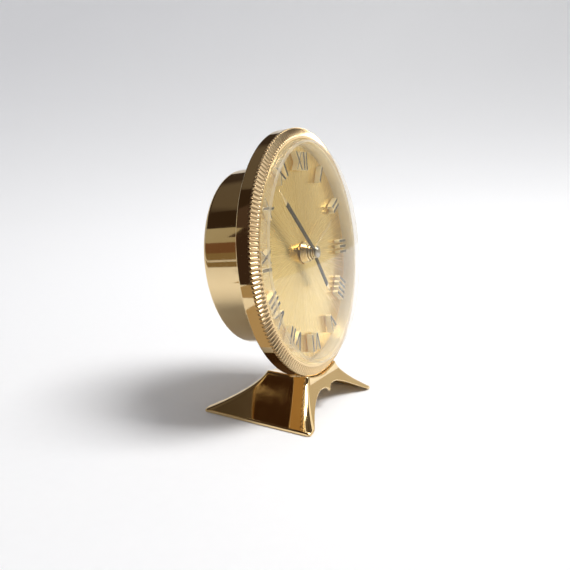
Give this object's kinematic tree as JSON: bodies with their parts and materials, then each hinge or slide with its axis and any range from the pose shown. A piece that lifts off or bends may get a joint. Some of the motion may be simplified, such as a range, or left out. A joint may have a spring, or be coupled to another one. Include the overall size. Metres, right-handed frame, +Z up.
{
  "type": "travel alarm clock",
  "caption": "Round brass wind-up alarm clock leaning back on a saddle foot: milled bezel, domed crystal, gilt dial with raised Roman numerals, short drum, two folding keys.",
  "frame": {"origin": "on the table, in the middle of the length and width of the box around the whole clock", "axes": "+Z up; the dial faces -Y, leaning back; +X is to the right as the dial is read"},
  "size_m": [0.076, 0.0406, 0.0858],
  "materials": {
    "polished_brass": "mirror-polished lacquered brass",
    "gilt": "polished gilt",
    "dial_gilt": "champagne gilt, sunburst brushed",
    "movement_brass": "grained movement brass",
    "steel": "turned steel",
    "blacked_steel": "black lacquer with gilt tips",
    "spring_steel": "blued spring steel",
    "crystal": "clear moulded acrylic"
  },
  "bodies": {
    "case": {"foot": "polished_brass", "foot_screw": "steel", "bezel": "polished_brass", "crystal": "crystal", "dial": "dial_gilt", "drum": "polished_brass", "rear_cover": "gilt", "cover_screw_1": "steel", "cover_screw_2": "steel", "cover_screw_3": "steel", "front_plate": "movement_brass", "rear_plate": "movement_brass", "pillar_1": "movement_brass", "pillar_2": "movement_brass", "pillar_3": "movement_brass", "centre_boss": "polished_brass", "balance_cock": "movement_brass", "hairspring": "spring_steel", "numeral_01": "gilt", "numeral_02": "gilt", "numeral_03": "gilt", "numeral_04": "gilt", "numeral_05": "gilt", "numeral_06": "gilt", "numeral_07": "gilt", "numeral_08": "gilt", "numeral_09": "gilt", "numeral_10": "gilt", "numeral_11": "gilt", "numeral_12": "gilt"},
    "minute": {"minute_hand": "blacked_steel", "hand_cap": "steel", "cannon_pinion": "steel", "centre_arbor": "steel", "hand_setting_knob": "polished_brass"},
    "hour": {"hour_hand": "blacked_steel", "hour_wheel": "movement_brass"},
    "minute_wheel": {"minute_wheel": "movement_brass"},
    "alarm_pointer": {"alarm_hand": "gilt", "alarm_disc": "movement_brass"},
    "alarm_setter": {"alarm_setting_arbor": "steel", "alarm_setting_knob": "polished_brass"},
    "centre_wheel": {"centre_wheel": "movement_brass"},
    "going_barrel": {"going_barrel": "movement_brass", "mainspring": "spring_steel"},
    "third_wheel": {"third_wheel": "movement_brass"},
    "fourth_wheel": {"fourth_wheel": "movement_brass"},
    "escape_wheel": {"escape_wheel": "movement_brass"},
    "pallet_fork": {"pallet_fork": "steel"},
    "balance": {"balance_wheel": "movement_brass"},
    "regulator": {"regulator": "steel"},
    "time_key": {"time_key": "polished_brass"},
    "time_key_wing": {"time_key_wing": "polished_brass"},
    "alarm_key": {"alarm_key": "polished_brass"},
    "alarm_key_wing": {"alarm_key_wing": "polished_brass"},
    "alarm_barrel": {"alarm_barrel": "movement_brass", "alarm_mainspring": "spring_steel"},
    "alarm_escape_wheel": {"alarm_escape_wheel": "movement_brass"},
    "alarm_hammer": {"alarm_hammer": "steel"},
    "alarm_stop_button": {"alarm_stop_button": "polished_brass"}
  },
  "joints": [
    {"name": "minute_turn", "type": "hinge", "parent": "case", "child": "minute", "pos_m": [0, -0.00605, 0.0483], "axis": [0, 0.9877, -0.1564], "continuous": true},
    {"name": "hour_turn", "type": "hinge", "parent": "case", "child": "hour", "pos_m": [0, -0.00605, 0.0483], "axis": [0, 0.9877, -0.1564], "continuous": true},
    {"name": "minute_wheel_turn", "type": "hinge", "parent": "case", "child": "minute_wheel", "pos_m": [-0.00416, -0.00642, 0.04593], "axis": [0, 0.9877, -0.1564], "continuous": true},
    {"name": "alarm_pointer_turn", "type": "hinge", "parent": "case", "child": "alarm_pointer", "pos_m": [0, -0.00605, 0.0483], "axis": [0, 0.9877, -0.1564], "continuous": true},
    {"name": "alarm_setter_turn", "type": "hinge", "parent": "case", "child": "alarm_setter", "pos_m": [0.00846, -0.00556, 0.05134], "axis": [0, 0.9877, -0.1564], "continuous": true},
    {"name": "escape_turn", "type": "hinge", "parent": "case", "child": "escape_wheel", "pos_m": [-0.00398, -0.00369, 0.0632], "axis": [0, 0.9877, -0.1564], "continuous": true},
    {"name": "fourth_turn", "type": "hinge", "parent": "case", "child": "fourth_wheel", "pos_m": [-0.00731, -0.00459, 0.0575], "axis": [0, 0.9877, -0.1564], "continuous": true},
    {"name": "third_turn", "type": "hinge", "parent": "case", "child": "third_wheel", "pos_m": [-0.00066, -0.00487, 0.05574], "axis": [0, 0.9877, -0.1564], "continuous": true},
    {"name": "centre_wheel_turn", "type": "hinge", "parent": "case", "child": "centre_wheel", "pos_m": [0, -0.00605, 0.0483], "axis": [0, 0.9877, -0.1564], "continuous": true},
    {"name": "going_barrel_turn", "type": "hinge", "parent": "case", "child": "going_barrel", "pos_m": [-0.0078, -0.00715, 0.04136], "axis": [0, 0.9877, -0.1564], "continuous": true},
    {"name": "fork_rock", "type": "hinge", "parent": "case", "child": "pallet_fork", "pos_m": [0.00137, -0.0038, 0.06246], "axis": [0, 0.9877, -0.1564], "range_deg": [-5, 5]},
    {"name": "balance_swing", "type": "hinge", "parent": "case", "child": "balance", "pos_m": [0.0074, -0.00393, 0.06163], "axis": [0, 0.9877, -0.1564], "range_deg": [-135, 135], "stiffness_Nm_per_rad": 0.000002},
    {"name": "regulator_swing", "type": "hinge", "parent": "case", "child": "regulator", "pos_m": [0.0074, -0.00393, 0.06163], "axis": [0, 0.9877, -0.1564], "range_deg": [-15, 15]},
    {"name": "time_key_turn", "type": "hinge", "parent": "case", "child": "time_key", "pos_m": [-0.0078, -0.00715, 0.04136], "axis": [0, 0.9877, -0.1564], "continuous": true},
    {"name": "time_key_fold", "type": "hinge", "parent": "time_key", "child": "time_key_wing", "pos_m": [-0.0078, 0.01834, 0.03732], "axis": [1, 0, 0], "range_deg": [0, 90]},
    {"name": "alarm_key_turn", "type": "hinge", "parent": "case", "child": "alarm_key", "pos_m": [0.0098, -0.00714, 0.04139], "axis": [0, 0.9877, -0.1564], "continuous": true},
    {"name": "alarm_key_fold", "type": "hinge", "parent": "alarm_key", "child": "alarm_key_wing", "pos_m": [0.0098, 0.01834, 0.03735], "axis": [1, 0, 0], "range_deg": [0, 90]},
    {"name": "alarm_barrel_turn", "type": "hinge", "parent": "case", "child": "alarm_barrel", "pos_m": [0.0098, -0.00714, 0.04139], "axis": [0, 0.9877, -0.1564], "continuous": true},
    {"name": "alarm_escape_turn", "type": "hinge", "parent": "case", "child": "alarm_escape_wheel", "pos_m": [0.0113, -0.00847, 0.03297], "axis": [0, 0.9877, -0.1564], "continuous": true},
    {"name": "hammer_swing", "type": "hinge", "parent": "case", "child": "alarm_hammer", "pos_m": [0.0166, -0.00814, 0.03506], "axis": [0, 0.9877, -0.1564], "range_deg": [-8, 12]},
    {"name": "alarm_stop_push", "type": "slide", "parent": "case", "child": "alarm_stop_button", "axis": [0, -0.9877, 0.1564], "range_m": [0, 0.0012], "stiffness_N_per_m": 120}
  ],
  "couplings": [
    {"joint": "hour_turn", "follows": "minute_turn", "ratio": 0.083333},
    {"joint": "minute_wheel_turn", "follows": "minute_turn", "ratio": -0.33333},
    {"joint": "alarm_setter_turn", "follows": "alarm_pointer_turn", "ratio": -2},
    {"joint": "fourth_turn", "follows": "escape_turn", "ratio": -0.125},
    {"joint": "third_turn", "follows": "escape_turn", "ratio": 0.016667},
    {"joint": "centre_wheel_turn", "follows": "escape_turn", "ratio": -0.0020833},
    {"joint": "going_barrel_turn", "follows": "escape_turn", "ratio": 0.00041667},
    {"joint": "alarm_escape_turn", "follows": "alarm_barrel_turn", "ratio": -4}
  ]
}
